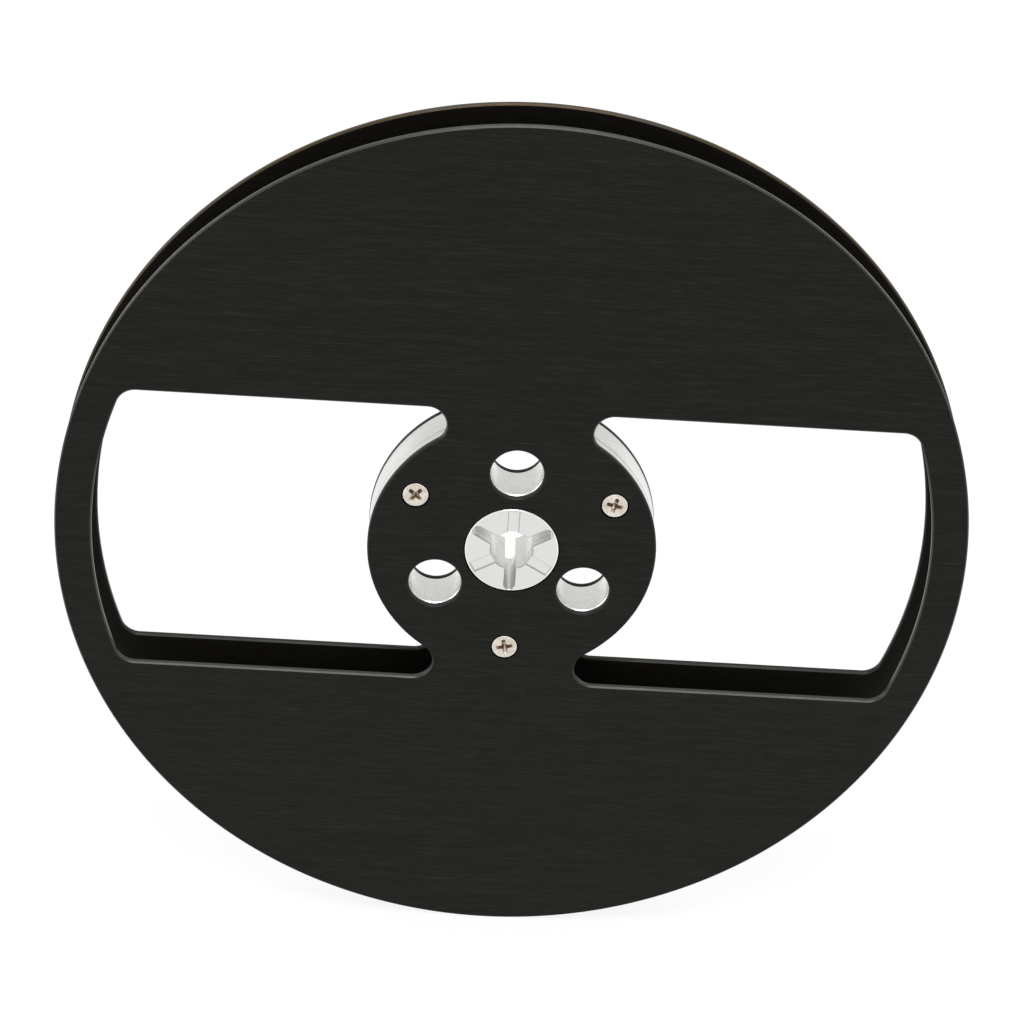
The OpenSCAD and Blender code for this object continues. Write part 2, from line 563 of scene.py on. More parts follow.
def turned(points: Loop, angle: float) -> Loop:
    """The points turned about the reel's axis."""
    c, s = math.cos(angle), math.sin(angle)
    return [(x * c - y * s, x * s + y * c) for x, y in points]


def tidy(points: Loop, gap: float = WELD) -> Loop:
    """Takes repeated points out of a closed outline.

    Args:
        points: The outline.
        gap: Points closer than this to the one before are dropped.

    Returns:
        The points that stay.
    """
    kept: Loop = []
    for p in points:
        if not kept or math.dist(p, kept[-1]) > gap:
            kept.append(p)
    if math.dist(kept[0], kept[-1]) <= gap:
        kept.pop()
    return kept


def outward(points: Loop) -> list[Point]:
    """Finds the way out of an outline at each of its points.

    Args:
        points: The outline, anticlockwise.

    Returns:
        Directions square to the outline, longer at the corners so that a moved outline keeps its angles.
    """
    made = []
    for i, (x, y) in enumerate(points):
        ax, ay = points[i - 1]
        bx, by = points[(i + 1) % len(points)]
        u = Vector((x - ax, y - ay)).normalized()
        v = Vector((bx - x, by - y)).normalized()
        mean = Vector((u.y + v.y, -u.x - v.x)).normalized()
        mean /= max(MITRE, mean.dot(Vector((u.y, -u.x))))
        made.append((mean.x, mean.y))
    return made


def rounded(radius: float, height: float, size: float, steps: int) -> Loop:
    """Points of (radius, height) round an edge, from a turned face at a height to its side."""
    angles = [i * TURN / 4 / steps for i in range(steps + 1)]
    return [(radius - size * (1 - math.sin(a)), height - size * (1 - math.cos(a))) for a in angles]


def grown(points: Loop, distance: float) -> Loop:
    """An anticlockwise outline moved outwards, or inwards where the distance is negative."""
    return [(x + n * distance, y + m * distance) for (x, y), (n, m) in zip(points, outward(points))]


class Solid:
    """A closed solid built up from rings of points at stated heights."""

    def __init__(self) -> None:
        """Starts an empty mesh whose faces carry how they are finished."""
        self.mesh = bmesh.new()
        self.kind = self.mesh.faces.layers.float.new("edge")

    def ring(self, points: Loop, height: float) -> Ring:
        """Adds the points at one height."""
        return [self.mesh.verts.new((x, y, height)) for x, y in points]

    def wall(self, a: Ring, b: Ring, kind: float = PLAIN) -> None:
        """Joins two rings that have the same number of points.

        Args:
            a: One ring.
            b: The other.
            kind: How the faces between them are finished.
        """
        for i in range(len(a)):
            j = (i + 1) % len(a)
            self.mesh.faces.new((a[i], a[j], b[j], b[i]))[self.kind] = kind

    def lathe(
        self, profile: Loop, count: int, centre: Point = (0.0, 0.0), kinds: tuple[float, ...] = ()
    ) -> list[Ring]:
        """Turns a profile of (radius, height) points about an axis.

        Args:
            profile: The points, from one end to the other.
            count: The number of steps round the axis.
            centre: Where the axis stands.
            kinds: How each band is finished, plain past the end of the list.

        Returns:
            The first and the last ring.
        """
        rings = [self.ring(circle(centre, r, count), z) for r, z in profile]
        for i, (a, b) in enumerate(zip(rings, rings[1:])):
            self.wall(a, b, kinds[i] if i < len(kinds) else PLAIN)
        return [rings[0], rings[-1]]

    def cap(self, *rings: Ring) -> None:
        """Fills the flat region that the rings bound.

        Args:
            rings: Its outline and its holes.
        """
        verts = [v for ring in rings for v in ring]
        flat = [[Vector((v.co.x, v.co.y, 0)) / MM for v in ring] for ring in rings]
        for face in tessellate_polygon(flat):
            self.mesh.faces.new([verts[i] for i in face])

    def data(self, name: str) -> bpy.types.Mesh:
        """Welds the mesh, points its faces outwards and hands it over.

        Args:
            name: The mesh's name.

        Returns:
            The finished mesh, still lying flat.
        """
        bmesh.ops.remove_doubles(self.mesh, verts=self.mesh.verts, dist=WELD)
        bmesh.ops.recalc_face_normals(self.mesh, faces=self.mesh.faces)
        data = bpy.data.meshes.new(name)
        self.mesh.to_mesh(data)
        self.mesh.free()
        return data


def face_outwards(data: bpy.types.Mesh) -> None:
    """Points a closed mesh's faces outwards.

    Args:
        data: The mesh.
    """
    mesh = bmesh.new()
    mesh.from_mesh(data)
    bmesh.ops.recalc_face_normals(mesh, faces=mesh.faces)
    mesh.to_mesh(data)
    mesh.free()


def direction(azimuth: float, elevation: float) -> Vector:
    """The way out from the reel, in degrees: 0 in front, 90 to its right, and up from level."""
    a, e = math.radians(azimuth), math.radians(elevation)
    return Vector((math.sin(a) * math.cos(e), -math.cos(a) * math.cos(e), math.sin(e)))


def placed(name: str, data: bpy.types.ID) -> bpy.types.Object:
    """Puts a mesh, a light or a camera in the scene.

    Args:
        name: The object's name.
        data: What it shows.

    Returns:
        The new object, at the origin.
    """
    made = bpy.data.objects.new(name, data)
    bpy.context.scene.collection.objects.link(made)
    return made


def piece(name: str, nodes: tuple[str, ...], data: bpy.types.Mesh) -> bpy.types.Object:
    """Puts a mesh in place of CAD nodes, with smooth faces and crisp edges.

    Args:
        name: The piece's name.
        nodes: The CAD nodes that it stands for.
        data: Its mesh, in place and with its material.

    Returns:
        The new object, at the origin.
    """
    for face in data.polygons:
        face.use_smooth = True
    data.set_sharp_from_angle(angle=SHARP)
    made = placed(name, data)
    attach(made, "root")
    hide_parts(*nodes)
    return made


# ---------------------------------------------------------------- geometry node groups


class Group(Tree):
    """A geometry tree with named inputs, set on a modifier by their identifiers.

    Besides its own inputs, each tree has the height, the facing and the finish of what it makes.
    """

    SHARED = {"Height": "NodeSocketFloat", "Facing": "NodeSocketFloat", "Finish": "NodeSocketMaterial"}

    def __init__(self, name: str, inputs: dict[str, str]) -> None:
        """Makes the tree and its interface.

        Args:
            name: The tree's name.
            inputs: The socket type of each named input.
        """
        super().__init__(bpy.data.node_groups.new(name, "GeometryNodeTree"))
        face = self.nodes.interface
        face.new_socket("Geometry", in_out="OUTPUT", socket_type="NodeSocketGeometry")
        self.ids = {
            label: face.new_socket(label, in_out="INPUT", socket_type=kind).identifier
            for label, kind in {**inputs, **self.SHARED}.items()
        }
        self._inputs = self.node("NodeGroupInput")

    def given(self, label: str) -> Socket:
        """The named input."""
        return self._inputs.other(label)

    def named(self, name: str, kind: str = "FLOAT") -> Socket:
        """A named value stored on the geometry."""
        return self.node(
            "GeometryNodeInputNamedAttribute", {"data_type": kind}, {"Name": name}, "Attribute"
        )

    def raised(self, geometry: Socket, height: Socket) -> Socket:
        """The geometry moved up."""
        move = {"Geometry": geometry, "Translation": self.pack(0.0, 0.0, height)}
        return self.node("GeometryNodeTransform", {}, move)

    def finish(self, geometry: Socket) -> None:
        """Ends the tree: raised, stood upright, instances made real and the material set.

        Args:
            geometry: What was made, lying flat.
        """
        turn = self.pack(TURN / 4, 0.0, self.given("Facing"))
        flat = self.raised(geometry, self.given("Height"))
        stood = self.node("GeometryNodeTransform", {}, {"Geometry": flat, "Rotation": turn})
        real = self.node("GeometryNodeRealizeInstances", {}, {0: stood})
        values = {"Geometry": real, "Material": self.given("Finish")}
        self.node("NodeGroupOutput", {}, {0: self.node("GeometryNodeSetMaterial", {}, values)})

    def run(self, source: bpy.types.Mesh, values: dict[str, object]) -> bpy.types.Mesh:
        """Runs the tree on a mesh.

        Args:
            source: The mesh that goes in.
            values: A value for each named input.

        Returns:
            The result as a plain mesh.
        """
        holder = placed("holder", source)
        modifier = holder.modifiers.new("shape", "NODES")
        modifier.node_group = self.nodes
        for label, value in values.items():
            modifier[self.ids[label]] = value
        bpy.context.view_layer.update()
        seen = holder.evaluated_get(bpy.context.evaluated_depsgraph_get())
        data = bpy.data.meshes.new_from_object(seen)
        holder.modifiers.remove(modifier)
        bpy.data.objects.remove(holder)
        return data


def plate_group() -> Group:
    """The tree that turns outlines into a plate whose edges follow each outline.

    Each point carries how far out it stands at the front face, at the two depths of its wall and at
    the rear face, so a chamfer, a countersink and a plain hole are made the same way.

    Returns:
        The tree.
    """
    group = Group("plate_from_outlines", {
        "Outlines": "NodeSocketGeometry",
        "Thickness": "NodeSocketFloat",
    })
    outlines, thick = group.given("Outlines"), group.given("Thickness")

    def level(index: int) -> Socket:
        """Moves the outlines to one level of the edge.

        Args:
            index: Which level, from the front face.

        Returns:
            The moved outlines.
        """
        shift = group.node(
            "ShaderNodeVectorMath", {"operation": "SCALE"},
            {0: group.named("outward", "FLOAT_VECTOR"), "Scale": group.named(f"grow_{index}")},
            "Vector",
        )
        height = thick * 0.5 - group.named(f"drop_{index}")
        offset = group.node(
            "ShaderNodeVectorMath", {"operation": "ADD"},
            {0: shift, 1: group.pack(0.0, 0.0, height)}, "Vector",
        )
        return group.node("GeometryNodeSetPosition", {}, {"Geometry": outlines, "Offset": offset})

    def face(index: int, height: Socket) -> Socket:
        """The flat face between the outlines of one level, put at a height."""
        curves = group.node("GeometryNodeMeshToCurve", {}, {0: level(index)})
        return group.raised(group.node("GeometryNodeFillCurve", {}, {0: curves}), height)

    def strip(index: int) -> Socket:
        """Makes the band of wall between one level and the next.

        Args:
            index: The upper level.

        Returns:
            The band, marked with how its edge is finished.
        """
        below = group.node(
            "GeometryNodeSampleIndex", {"data_type": "FLOAT_VECTOR", "domain": "POINT"},
            {"Geometry": level(index + 1), "Value": group.node("GeometryNodeInputPosition"),
             "Index": group.node("GeometryNodeInputIndex")},
        )
        stored = group.node(
            "GeometryNodeStoreNamedAttribute", {"data_type": "FLOAT_VECTOR", "domain": "POINT"},
            {"Geometry": level(index), "Name": "below", "Value": below},
        )
        pulled = group.node(
            "GeometryNodeExtrudeMesh", {"mode": "EDGES"}, {"Mesh": stored, "Offset Scale": 0.0}
        )
        moved = group.node(
            "GeometryNodeSetPosition", {},
            {"Geometry": pulled, "Selection": pulled.other("Top"),
             "Position": group.named("below", "FLOAT_VECTOR")},
        )
        return group.node(
            "GeometryNodeStoreNamedAttribute", {"data_type": "FLOAT", "domain": "FACE"},
            {"Geometry": moved, "Name": "edge", "Value": group.named("kind")},
        )

    parts = [face(0, thick * 0.5), face(LEVELS - 1, thick * -0.5), *map(strip, range(LEVELS - 1))]
    welded = group.node(
        "GeometryNodeMergeByDistance", {}, {"Geometry": group.join(*parts), "Distance": WELD}
    )
    group.finish(welded)
    return group


def screw_group() -> Group:
    """The tree that threads a screw and sets one at each place round the reel.

    Returns:
        The tree.
    """
    group = Group("screws_round_the_hub", {
        "Places": "NodeSocketGeometry",
        "Screw": "NodeSocketObject",
        "Thread radius": "NodeSocketFloat",
        "Thread depth": "NodeSocketFloat",
        "Thread from": "NodeSocketFloat",
        "Thread length": "NodeSocketFloat",
        "Pitch": "NodeSocketFloat",
    })
    deep, pitch = group.given("Thread depth"), group.given("Pitch")
    root = group.given("Thread radius") - deep
    length = group.given("Thread length")
    helix = group.node(
        "GeometryNodeCurveSpiral", {},
        {"Resolution": 28, "Rotations": length / pitch, "Start Radius": root, "End Radius": root,
         "Height": length},
    )
    ridge = group.node(
        "GeometryNodeCurvePrimitiveCircle", {"mode": "RADIUS"}, {"Resolution": 3, "Radius": deep}
    )
    thread = group.node(
        "GeometryNodeCurveToMesh", {}, {"Curve": helix, "Profile Curve": ridge, "Fill Caps": True}
    )
    thread = group.raised(thread, group.given("Thread from"))
    body = group.node("GeometryNodeObjectInfo", {}, {"Object": group.given("Screw")}, "Geometry")
    screws = group.node(
        "GeometryNodeInstanceOnPoints", {},
        {"Points": group.given("Places"), "Instance": group.join(body, thread),
         "Rotation": group.pack(0.0, 0.0, group.named("turn"))},
    )
    group.finish(screws)
    return group


# ---------------------------------------------------------------- the reel's pieces


@dataclass(frozen=True)
class Layout:
    """The sizes and places that the flanges, the hub and the screws share."""

    drum_r: float
    count: int = 3                        # of slots, grooves, finger holes and screws
    slots_at: float = math.radians(30)    # the first driving slot and the first screw
    boss_r: float = 9.2 * MM
    finger_r: float = 5.2 * MM
    finger_wall: float = 2.4 * MM         # between the boss and a finger hole
    finger_steps: int = 144
    screw_r: float = 1.25 * MM            # of the threads, and of the holes tapped for them
    screw_inset: float = 5.8 * MM         # from the drum's edge to the middle of a screw
    screw_steps: int = 72
    head_r: float = 2.5 * MM
    head_land: float = 0.15 * MM          # straight side of a screw's head above its cone

    def angles(self, between: bool = False) -> list[float]:
        """The angles of the slots and screws, or of the grooves and finger holes between them."""
        return [self.slots_at + (i + between / 2) * TURN / self.count for i in range(self.count)]

    def fingers(self) -> list[Point]:
        """The middles of the finger holes."""
        reach = self.boss_r + self.finger_wall + self.finger_r
        return [polar(reach, angle) for angle in self.angles(between=True)]

    def screws(self) -> list[Point]:
        """The middles of the screws."""
        return [polar(self.drum_r - self.screw_inset, angle) for angle in self.angles()]


@dataclass(frozen=True)
class Cut:
    """One outline through a plate, with its edge from the front face to the rear face."""

    points: Loop                          # anticlockwise
    levels: tuple[Point, ...]             # (how far outwards, how far below the front face)
    edge: float = BRIGHT                  # how the finish shows on it; DARK is painted shade


@dataclass
class Flange:
    """A flange: a brushed and anodised disc with two windows, finger holes and screw seats."""

    side: Side
    layout: Layout
    finish: bpy.types.Material
    disc_step: float = 0.1 * MM           # how far the disc round the hub stands out beyond the drum
    rim_w: float = 7.15 * MM
    rim_steps: int = 720
    window_rise: float = 2.25 * MM        # from the disc's top to a window's straight edge
    corner_r: float = 3.9 * MM
    edge_c: float = 0.3 * MM
    boss_gap: float = 0.05 * MM           # clearance round the hub's boss
    boss_hole_c: float = 0.12 * MM
    boss_hole_steps: int = 240
    head_sink: float = 0.1 * MM           # how far the screws' heads lie below the face
    shank_gap: float = 0.2 * MM           # clearance round a screw's shank

    def __post_init__(self) -> None:
        """Takes the flange's size and place from its CAD node, and its disc from the drum."""
        self.node = f"{self.side.label}_flange"
        low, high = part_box(self.node)
        self.disc_r = self.layout.drum_r + self.disc_step
        self.radius = high.x
        self.thick = high.y - low.y
        self.middle = abs(high.y + low.y) / 2

    def chamfered(self, points: Loop, sign: int) -> Cut:
        """An outline with a chamfer at both faces: sign is 1 for a hole and -1 for the rim."""
        c, t = self.edge_c, self.thick
        return Cut(points, ((sign * c, 0), (0, c), (0, t - c), (sign * c, t)))

    def window(self) -> Loop:
        """Draws the right-hand window.

        Returns:
            An arc by the rim, two straight edges, the hub disc's arc and four round corners.
        """
        outer_r = self.radius - self.rim_w
        y = self.disc_r + self.window_rise - self.corner_r
        inner = (math.sqrt((self.disc_r + self.corner_r) ** 2 - y * y), y)
        outer = (math.sqrt((outer_r - self.corner_r) ** 2 - y * y), y)
        a, b = math.atan2(inner[1], inner[0]), math.atan2(outer[1], outer[0])
        upper = [
            *arc((0, 0), outer_r, 0, b, 90),
            *arc(outer, self.corner_r, b, TURN / 4, 24),
            *arc(inner, self.corner_r, TURN / 4, TURN / 2 + a, 40),
            *arc((0, 0), self.disc_r, a, 0, 60),
        ]
        return tidy(upper + [(x, -z) for x, z in reversed(upper)])

    def cuts(self) -> list[Cut]:
        """Lists every outline of the flange.

        Returns:
            The rim, the windows, the hole on the boss, the finger holes and the screw seats.
        """
        shared, t, c = self.layout, self.thick, self.boss_hole_c
        shank_r = shared.screw_r + self.shank_gap
        cone = shared.head_r + shared.head_land + self.head_sink - shank_r
        window = self.window()
        boss = circle((0, 0), shared.boss_r + self.boss_gap, self.boss_hole_steps)
        made = [
            self.chamfered(circle((0, 0), self.radius, self.rim_steps), -1),
            self.chamfered(window, 1),
            self.chamfered([(-x, z) for x, z in reversed(window)], 1),
            # painted shade in the gap round the hub's boss
            Cut(boss, ((c, 0), (0, c), (0, t / 2), (0, t)), DARK),
        ]
        for finger, screw in zip(shared.fingers(), shared.screws()):
            made.append(self.chamfered(circle(finger, shared.finger_r, shared.finger_steps), 1))
            seat = circle(screw, shank_r, shared.screw_steps)
            # painted shade in the gap round the screw's head
            made.append(Cut(seat, ((cone, 0), (0, cone), (0, (cone + t) / 2), (0, t)), DARK))
        return made

    def shine(self, cut: Cut, point: Point) -> float:
        """How bright a cut's edge is at a point: duller round the hub than further out."""
        return min(cut.edge, DULL) if math.hypot(*point) < self.disc_r + self.edge_c else cut.edge

    def outlines(self) -> bpy.types.Mesh:
        """Turns the outlines into a mesh of edges.

        Returns:
            The mesh, whose points carry the shape and the finish of the plate's edge.
        """
        points, edges, normals, kinds = [], [], [], []
        values: list[list[float]] = [[] for _ in range(2 * LEVELS)]
        for cut in self.cuts():
            start, count = len(points), len(cut.points)
            points += [(x, y, 0) for x, y in cut.points]
            kinds += [self.shine(cut, point) for point in cut.points]
            normals += [c for n in outward(cut.points) for c in (*n, 0.0)]
            edges += [(start + i, start + (i + 1) % count) for i in range(count)]
            for i, (grow, drop) in enumerate(cut.levels):
                values[2 * i] += [grow] * count
                values[2 * i + 1] += [drop] * count
        data = bpy.data.meshes.new("flange_outlines")
        data.from_pydata(points, edges, [])
        data.attributes.new("outward", "FLOAT_VECTOR", "POINT").data.foreach_set("vector", normals)
        data.attributes.new("kind", "FLOAT", "POINT").data.foreach_set("value", kinds)
        for i, column in enumerate(values):
            name = f"{'drop' if i % 2 else 'grow'}_{i // 2}"
            data.attributes.new(name, "FLOAT", "POINT").data.foreach_set("value", column)
        return data

    def build(self, group: Group) -> bpy.types.Object:
        """Makes the flange and puts it in place of its CAD node.

        Args:
            group: The tree that makes a plate from outlines.

        Returns:
            The flange.
        """
        data = group.run(self.outlines(), {
            "Thickness": self.thick,
            "Height": self.middle,
            "Facing": self.side.value,
            "Finish": self.finish,
        })
        helpers = ("grow", "drop", "outward", "below", "kind")
        for name in [a.name for a in data.attributes if a.name.startswith(helpers)]:
            data.attributes.remove(data.attributes[name])
        face_outwards(data)
        return piece(f"{self.side.label}_flange_plate", (self.node,), data)


@dataclass
class Hub:
    """The hub: a turned drum and bosses with the bore, slots, grooves, finger bores and tapped holes."""

    layout: Layout
    finish: bpy.types.Material
    half_w: float                         # half the width over the bosses
    drum_half: float                      # half the distance between the flanges
    drum_steps: int = 480
    boss_c: float = 0.25 * MM
    boss_steps: int = 300
    bore_r: float = 4.15 * MM
    slot_w: float = 2.1 * MM              # of the slots and the grooves
    slot_end_wall: float = 0.35 * MM      # between a slot's round end and the boss's side
    groove_end_wall: float = 0.6 * MM
    groove_depth: float = 0.3 * MM
    edge_break: float = 0.11 * MM         # at the mouth of the bore, the slots and the grooves
    edge_steps: int = 5
    finger_c: float = 0.18 * MM
    screw_c: float = 0.1 * MM
    line_inset: float = 2.0 * MM          # from the front flange to the scribed line
    line_w: float = 0.3 * MM

    def spoke(self, angle: float, grooved: bool) -> Loop:
        """Draws one slot or one groove, from the bore out and back.

        Args:
            angle: The direction in which it points.
            grooved: True for a groove, which ends square, and False for a slot, which ends round.

        Returns:
            The points, open at the bore.
        """
        half = self.slot_w / 2
        mouth = math.sqrt(self.bore_r**2 - half**2)
        if grooved:
            reach = self.layout.boss_r - self.groove_end_wall
            end = [(reach, -half), (reach, half)]
        else:
            reach = self.layout.boss_r - self.slot_end_wall
            end = arc((reach - half, 0), half, -TURN / 4, TURN / 4, 32)
        return turned([(mouth, -half), *end, (mouth, half)], angle)

    def bore(self, grooved: bool) -> Loop:
        """Draws the bore with its slots.

        Args:
            grooved: True at the boss's faces, where the grooves belong to the outline too.

        Returns:
            The outline, anticlockwise.
        """
        reach = math.asin(self.slot_w / 2 / self.bore_r)
        made: Loop = []
        for slot, groove in zip(self.layout.angles(), self.layout.angles(between=True)):
            made += self.spoke(slot, False)
            made += arc((0, 0), self.bore_r, slot + reach, groove - reach, 16)
            if grooved:
                made += self.spoke(groove, True)
            else:
                made += arc((0, 0), self.bore_r, groove - reach, groove + reach, 12)
            made += arc((0, 0), self.bore_r, groove + reach, 2 * groove - slot - reach, 16)
        return tidy(made)

    def floor(self, angle: float) -> Loop:
        """Draws one groove's floor.

        Args:
            angle: The direction in which the groove points.

        Returns:
            The groove and the arc of the bore at its mouth.
        """
        reach = math.asin(self.slot_w / 2 / self.bore_r)
        mouth = arc((0, 0), self.bore_r, angle + reach, angle - reach, 12)
        return tidy(self.spoke(angle, True) + mouth)

    def profile(self) -> Loop:
        """Draws the drum's outside from the rear flange to the front one, with the scribed line.

        Returns:
            Points of (radius, height).
        """
        drum_r = self.layout.drum_r
        line, half = self.drum_half - self.line_inset, self.line_w / 2
        return [(drum_r, -self.drum_half), (drum_r, line - half), (drum_r - half, line),
                (drum_r, line + half), (drum_r, self.drum_half)]

    def rim(self, end: int) -> Loop:
        """Points of (radius, height) from the boss's face down to the drum, at one end of the hub."""
        edge = rounded(self.layout.boss_r, self.half_w, self.boss_c, self.edge_steps)
        return [*((r, end * z) for r, z in edge), (self.layout.boss_r, end * self.drum_half)]

    def build(self) -> bpy.types.Object:
        """Makes the hub and puts it in place of its CAD node.

        Returns:
            The hub.
        """
        solid = Solid()
        through = self.bore(False)
        floor_z = self.half_w - self.groove_depth
        # the scribed line's two walls carry painted shade
        rear, front = solid.lathe(self.profile(), self.drum_steps, kinds=(PLAIN, DARK, DARK))
        solid.wall(solid.ring(through, floor_z), solid.ring(through, -floor_z))
        self.boss(solid, 1, front)
        self.boss(solid, -1, rear)
        for at, radius, chamfer, count in self.holes():
            side = self.drum_half - chamfer
            solid.lathe([(radius, -side), (radius, side)], count, at)
        data = solid.data("hub")
        data.transform(UPRIGHT)
        data.materials.append(self.finish)
        return piece("machined_hub_body", ("hub",), data)

    def holes(self) -> list[tuple[Point, float, float, int]]:
        """Lists the finger bores and the tapped holes.

        Returns:
            The middle, the radius, the chamfer and the steps round each.
        """
        shared, made = self.layout, []
        for finger, screw in zip(shared.fingers(), shared.screws()):
            made.append((finger, shared.finger_r, self.finger_c, shared.finger_steps))
            made.append((screw, shared.screw_r, self.screw_c, shared.screw_steps))
        return made

    def boss(self, solid: Solid, end: int, drum: Ring) -> None:
        """Adds one end of the hub: the boss, its grooves, and the drum's face.

        Args:
            solid: The solid that it is added to.
            end: 1 in front and -1 at the rear.
            drum: The ring at the drum's edge on this side.
        """
        face = self.half_w * end
        broken = (self.half_w - self.edge_break) * end
        low = (self.half_w - self.groove_depth) * end
        star = self.bore(True)
        top = solid.ring(grown(star, self.edge_break), face)
        middle, bottom = solid.ring(star, broken), solid.ring(star, low)
        # painted shade on the broken edges and the groove walls; painted highlight on the boss's rounded
        # edge
        solid.wall(top, middle, DARK)
        solid.wall(middle, bottom, SHADED)
        bright = (BRIGHT,) * self.edge_steps
        inner, outer = solid.lathe(self.rim(end), self.boss_steps, kinds=bright)
        solid.cap(inner, top)
        for angle in self.layout.angles(between=True):
            solid.cap(solid.ring(self.floor(angle), low))
        rings = [drum, outer]
        for at, radius, c, count in self.holes():
            mouth = [(radius + c, self.drum_half * end), (radius, (self.drum_half - c) * end)]
            # painted highlight on the mouths of the finger bores and the tapped holes
            rings.append(solid.lathe(mouth, count, at, (BRIGHT,))[0])
        solid.cap(*rings)


@dataclass
class Screws:
    """The three countersunk cross-recess screws of one side."""

    side: Side
    layout: Layout
    finish: bpy.types.Material
    recess_turns: tuple[float, ...]       # degrees from the line to the reel's axis
    head_edge: float = 0.13 * MM          # radius of the head's edge
    edge_steps: int = 4
    steps: int = 96
    relief: float = 0.1 * MM              # plain shank under the head
    tip_c: float = 0.3 * MM
    wing_c: float = 0.35                  # chamfer of a wing's end, as a share of half its width
    thread_depth: float = 0.19 * MM
    thread_pitch: float = 0.45 * MM
    thread_ends: Point = (0.35 * MM, 0.25 * MM)   # left without thread at the tip and at the head
    # the cross recess in millimetres: depth, a wing's length, half its width, and its root
    recess: tuple[tuple[float, float, float, float], ...] = (
        (0.00, 1.66, 0.40, 0.66),
        (0.10, 1.58, 0.36, 0.60),
        (0.80, 1.16, 0.30, 0.52),
        (1.25, 0.74, 0.22, 0.38),
        (1.45, 0.30, 0.12, 0.20),
    )

    def __post_init__(self) -> None:
        """Finds the screws' CAD nodes, and takes their length and place from the first."""
        start = f"{self.side.label}_screw_"
        self.nodes = tuple(sorted(node for node in frame["nodes"] if node.startswith(start)))
        low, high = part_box(self.nodes[0])
        self.head_z = max(abs(low.y), abs(high.y))
        self.length = high.y - low.y

    def cross(self, reach: float, half: float, inner: float) -> Loop:
        """Draws the cross recess at one depth.

        Args:
            reach: Length of a wing from the middle.
            half: Half a wing's width.
            inner: How far out a wing's root lies.

        Returns:
            The outline, anticlockwise.
        """
        clip = half * self.wing_c
        wing = [(inner, -half), (reach - clip, -half), (reach, clip - half),
                (reach, half - clip), (reach - clip, half), (inner, half)]
        return [p for i in range(4) for p in turned(wing, i * TURN / 4)]

    def shape(self) -> bpy.types.Mesh:
        """Builds one screw without its thread.

        Returns:
            The screw, its head's face at height 0 and its tip below.
        """
        solid = Solid()
        head, land, shank = self.layout.head_r, self.layout.head_land, self.layout.screw_r
        core = shank - self.thread_depth
        neck = -land - (head - shank)
        profile = [*rounded(head, 0, self.head_edge, self.edge_steps),
                   (head, -land), (shank, neck), (shank, neck - self.relief),
                   (core, neck - self.relief - self.thread_depth),
                   (core, self.tip_c - self.length), (core - self.tip_c, -self.length)]
        # painted highlight on the head's rounded edge
        top, tip = solid.lathe(profile, self.steps, kinds=(BRIGHT,) * self.edge_steps)
        solid.cap(tip)
        rings = [
            solid.ring(self.cross(reach * MM, half * MM, inner * MM), -depth * MM)
            for depth, reach, half, inner in self.recess
        ]
        for a, b in zip(rings, rings[1:]):
            solid.wall(a, b)
        solid.cap(top, rings[0])
        solid.cap(rings[-1])
        return solid.data("screw")

    def build(self, group: Group) -> bpy.types.Object:
        """Makes this side's screws and puts them in place of their CAD nodes.

        Args:
            group: The tree that sets the screws round the reel.

        Returns:
            The screws, as one piece.
        """
        shared, screw = self.layout, placed("screw_shape", self.shape())
        places = bpy.data.meshes.new("screw_places")
        places.from_pydata([(x, y, 0) for x, y in shared.screws()], [], [])
        turns = [a + math.radians(turn) for a, turn in zip(shared.angles(), self.recess_turns)]
        places.attributes.new("turn", "FLOAT", "POINT").data.foreach_set("value", turns)
        head = shared.head_land + shared.head_r - shared.screw_r
        threaded = self.length - head - sum(self.thread_ends)
        data = group.run(places, {
            "Screw": screw,
            "Height": self.head_z,
            "Thread radius": shared.screw_r,
            "Thread depth": self.thread_depth,
            "Thread from": self.thread_ends[0] - self.length,
            "Thread length": threaded,
            "Pitch": self.thread_pitch,
            "Facing": self.side.value,
            "Finish": self.finish,
        })
        bpy.data.objects.remove(screw)
        return piece(f"{self.side.label}_screws", self.nodes, data)


# ---------------------------------------------------------------- the studio


@dataclass(frozen=True)
class Softbox:
    """A rectangular light that faces the reel's centre."""

    name: str
    azimuth: float        # degrees, 0 in front of the reel and 90 to its right
    elevation: float      # degrees above level
    distance: float
    size: Point           # width and height
    radiance: float

    def build(self) -> bpy.types.Object:
        """Adds the light.

        Returns:
            The light's object.
        """
        back = direction(self.azimuth, self.elevation)
        data = bpy.data.lights.new(self.name, "AREA")
        data.shape = "RECTANGLE"
        data.size, data.size_y = self.size
        data.energy = self.radiance * math.pi * self.size[0] * self.size[1]
        made = placed(self.name, data)
        made.location = back * self.distance
        made.rotation_mode = "QUATERNION"
        made.rotation_quaternion = (-back).to_track_quat("-Z", "Y")
        return made


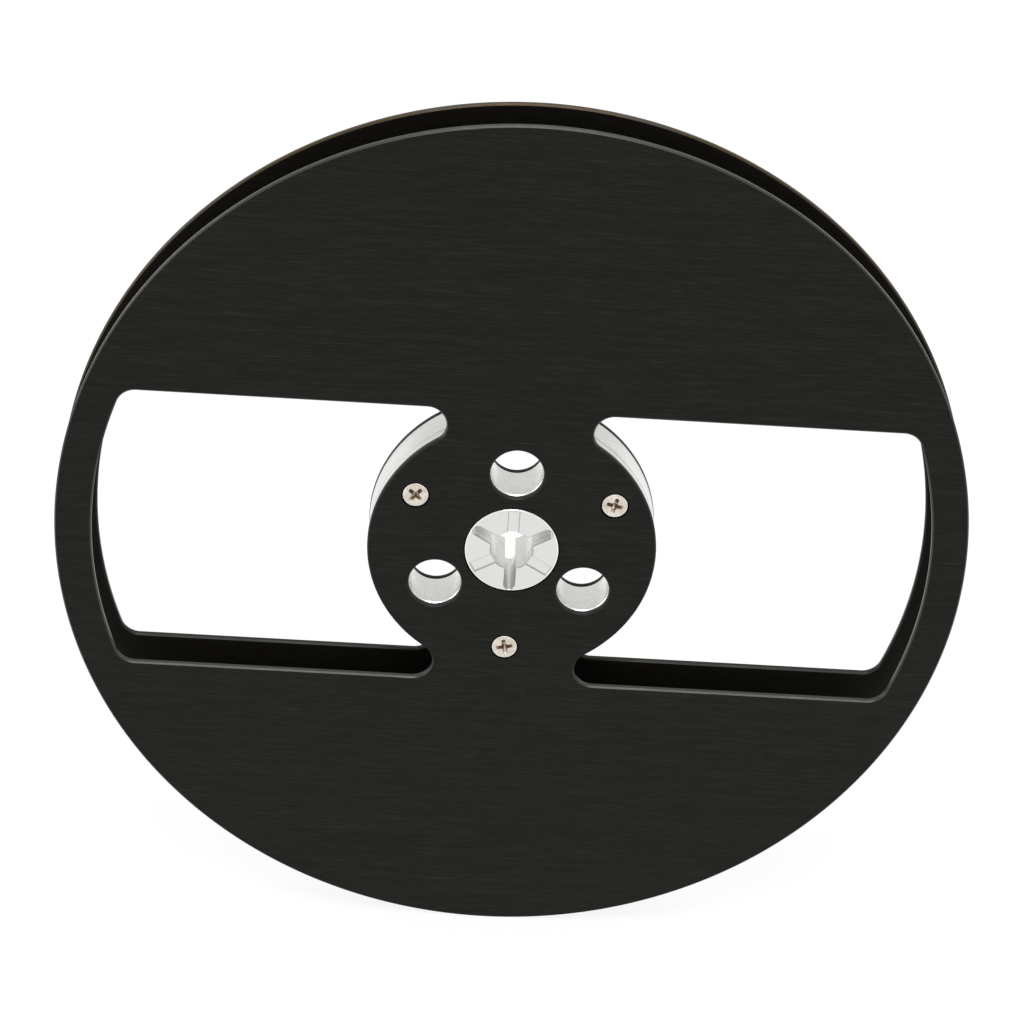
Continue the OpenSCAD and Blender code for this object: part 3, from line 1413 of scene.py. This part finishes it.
@dataclass
class Studio:
    """The floor, the soft lights, the surroundings and the camera."""

    floor_finish: bpy.types.Material
    floor_z: float
    floor_half: float = 6.0               # half the floor's width
    surround: float = 0.82                # brightness of the surroundings
    softboxes: tuple[Softbox, ...] = (
        Softbox("key_softbox", 0, 60, 1.3, (0.8, 0.45), 5.0),
        Softbox("left_softbox", -70, 12, 1.4, (0.6, 1.0), 1.2),
    )
    azimuth: float = -2.148               # the camera's place, in degrees, as a softbox's is
    elevation: float = 29.605
    roll: float = 4.256
    distance: float = 613.909 * MM
    aim: tuple[float, float, float] = (-0.153 * MM, 0.0, 5.130 * MM)
    nudge: float = 0.0975 * MM            # last small move of the camera, up and to its left
    lens: float = 110.2                   # in millimetres, like the sensor's width
    sensor: float = 36.0

    def build(self) -> None:
        """Sets the whole studio up."""
        self.floor()
        self.world()
        for softbox in self.softboxes:
            softbox.build()
        self.camera()
        view = bpy.context.scene.view_settings
        view.view_transform, view.look = "Standard", "None"

    def floor(self) -> None:
        """A wide floor that the reel's rim stands on."""
        data = bpy.data.meshes.new("studio_floor")
        half = self.floor_half
        corners = [(-half, -half), (half, -half), (half, half), (-half, half)]
        data.from_pydata([(x, y, self.floor_z) for x, y in corners], [], [(0, 1, 2, 3)])
        data.materials.append(self.floor_finish)
        placed("studio_floor", data)

    def world(self) -> None:
        """Plain white surroundings."""
        world = bpy.data.worlds.new("studio")
        world.use_nodes = True
        background = world.node_tree.nodes["Background"]
        background.inputs["Color"].default_value = (1, 1, 1, 1)
        background.inputs["Strength"].default_value = self.surround
        bpy.context.scene.world = world

    def camera(self) -> None:
        """A long lens, a little above the reel and slightly rolled."""
        back, r = direction(self.azimuth, self.elevation), math.radians(self.roll)
        across = Vector((0, 0, 1)).cross(back).normalized()
        up = back.cross(across)
        right = math.cos(r) * across + math.sin(r) * up
        top = -math.sin(r) * across + math.cos(r) * up
        place = Vector(self.aim) + back * self.distance + self.nudge * (top - right)
        data = bpy.data.cameras.new("camera")
        data.lens, data.sensor_width = self.lens, self.sensor
        data.clip_start, data.clip_end = 0.01, 100
        made = placed("camera", data)
        made.matrix_world = Matrix.Translation(place) @ Matrix((right, top, back)).transposed().to_4x4()
        bpy.context.scene.camera = made


def main() -> None:
    """Builds the reel's pieces and reports each of them, and then sets up the studio."""
    logging.basicConfig(level=logging.INFO, format="%(message)s")
    anodised = BlackAnodised().material()
    machined = MachinedAluminium().material()
    nickel = WarmNickel(head_z=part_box("rear_screw_1")[1].y).material()
    plates, screws = plate_group(), screw_group()
    hub_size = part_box("hub")[1]
    layout = Layout(hub_size.x)
    front, rear = Flange(Side.FRONT, layout, anodised), Flange(Side.REAR, layout, anodised)
    pieces = [
        front.build(plates),
        rear.build(plates),
        Hub(layout, machined, hub_size.y, front.middle - front.thick / 2).build(),
        Screws(Side.FRONT, layout, nickel, (46, 79, 12)).build(screws),
        Screws(Side.REAR, layout, nickel, (65, 12, 33)).build(screws),
    ]
    for made in pieces:
        log.info("%s: %d faces", made.name, len(made.data.polygons))
    Studio(StudioFloor().material(), -front.radius).build()


if __name__ == "__main__":
    main()
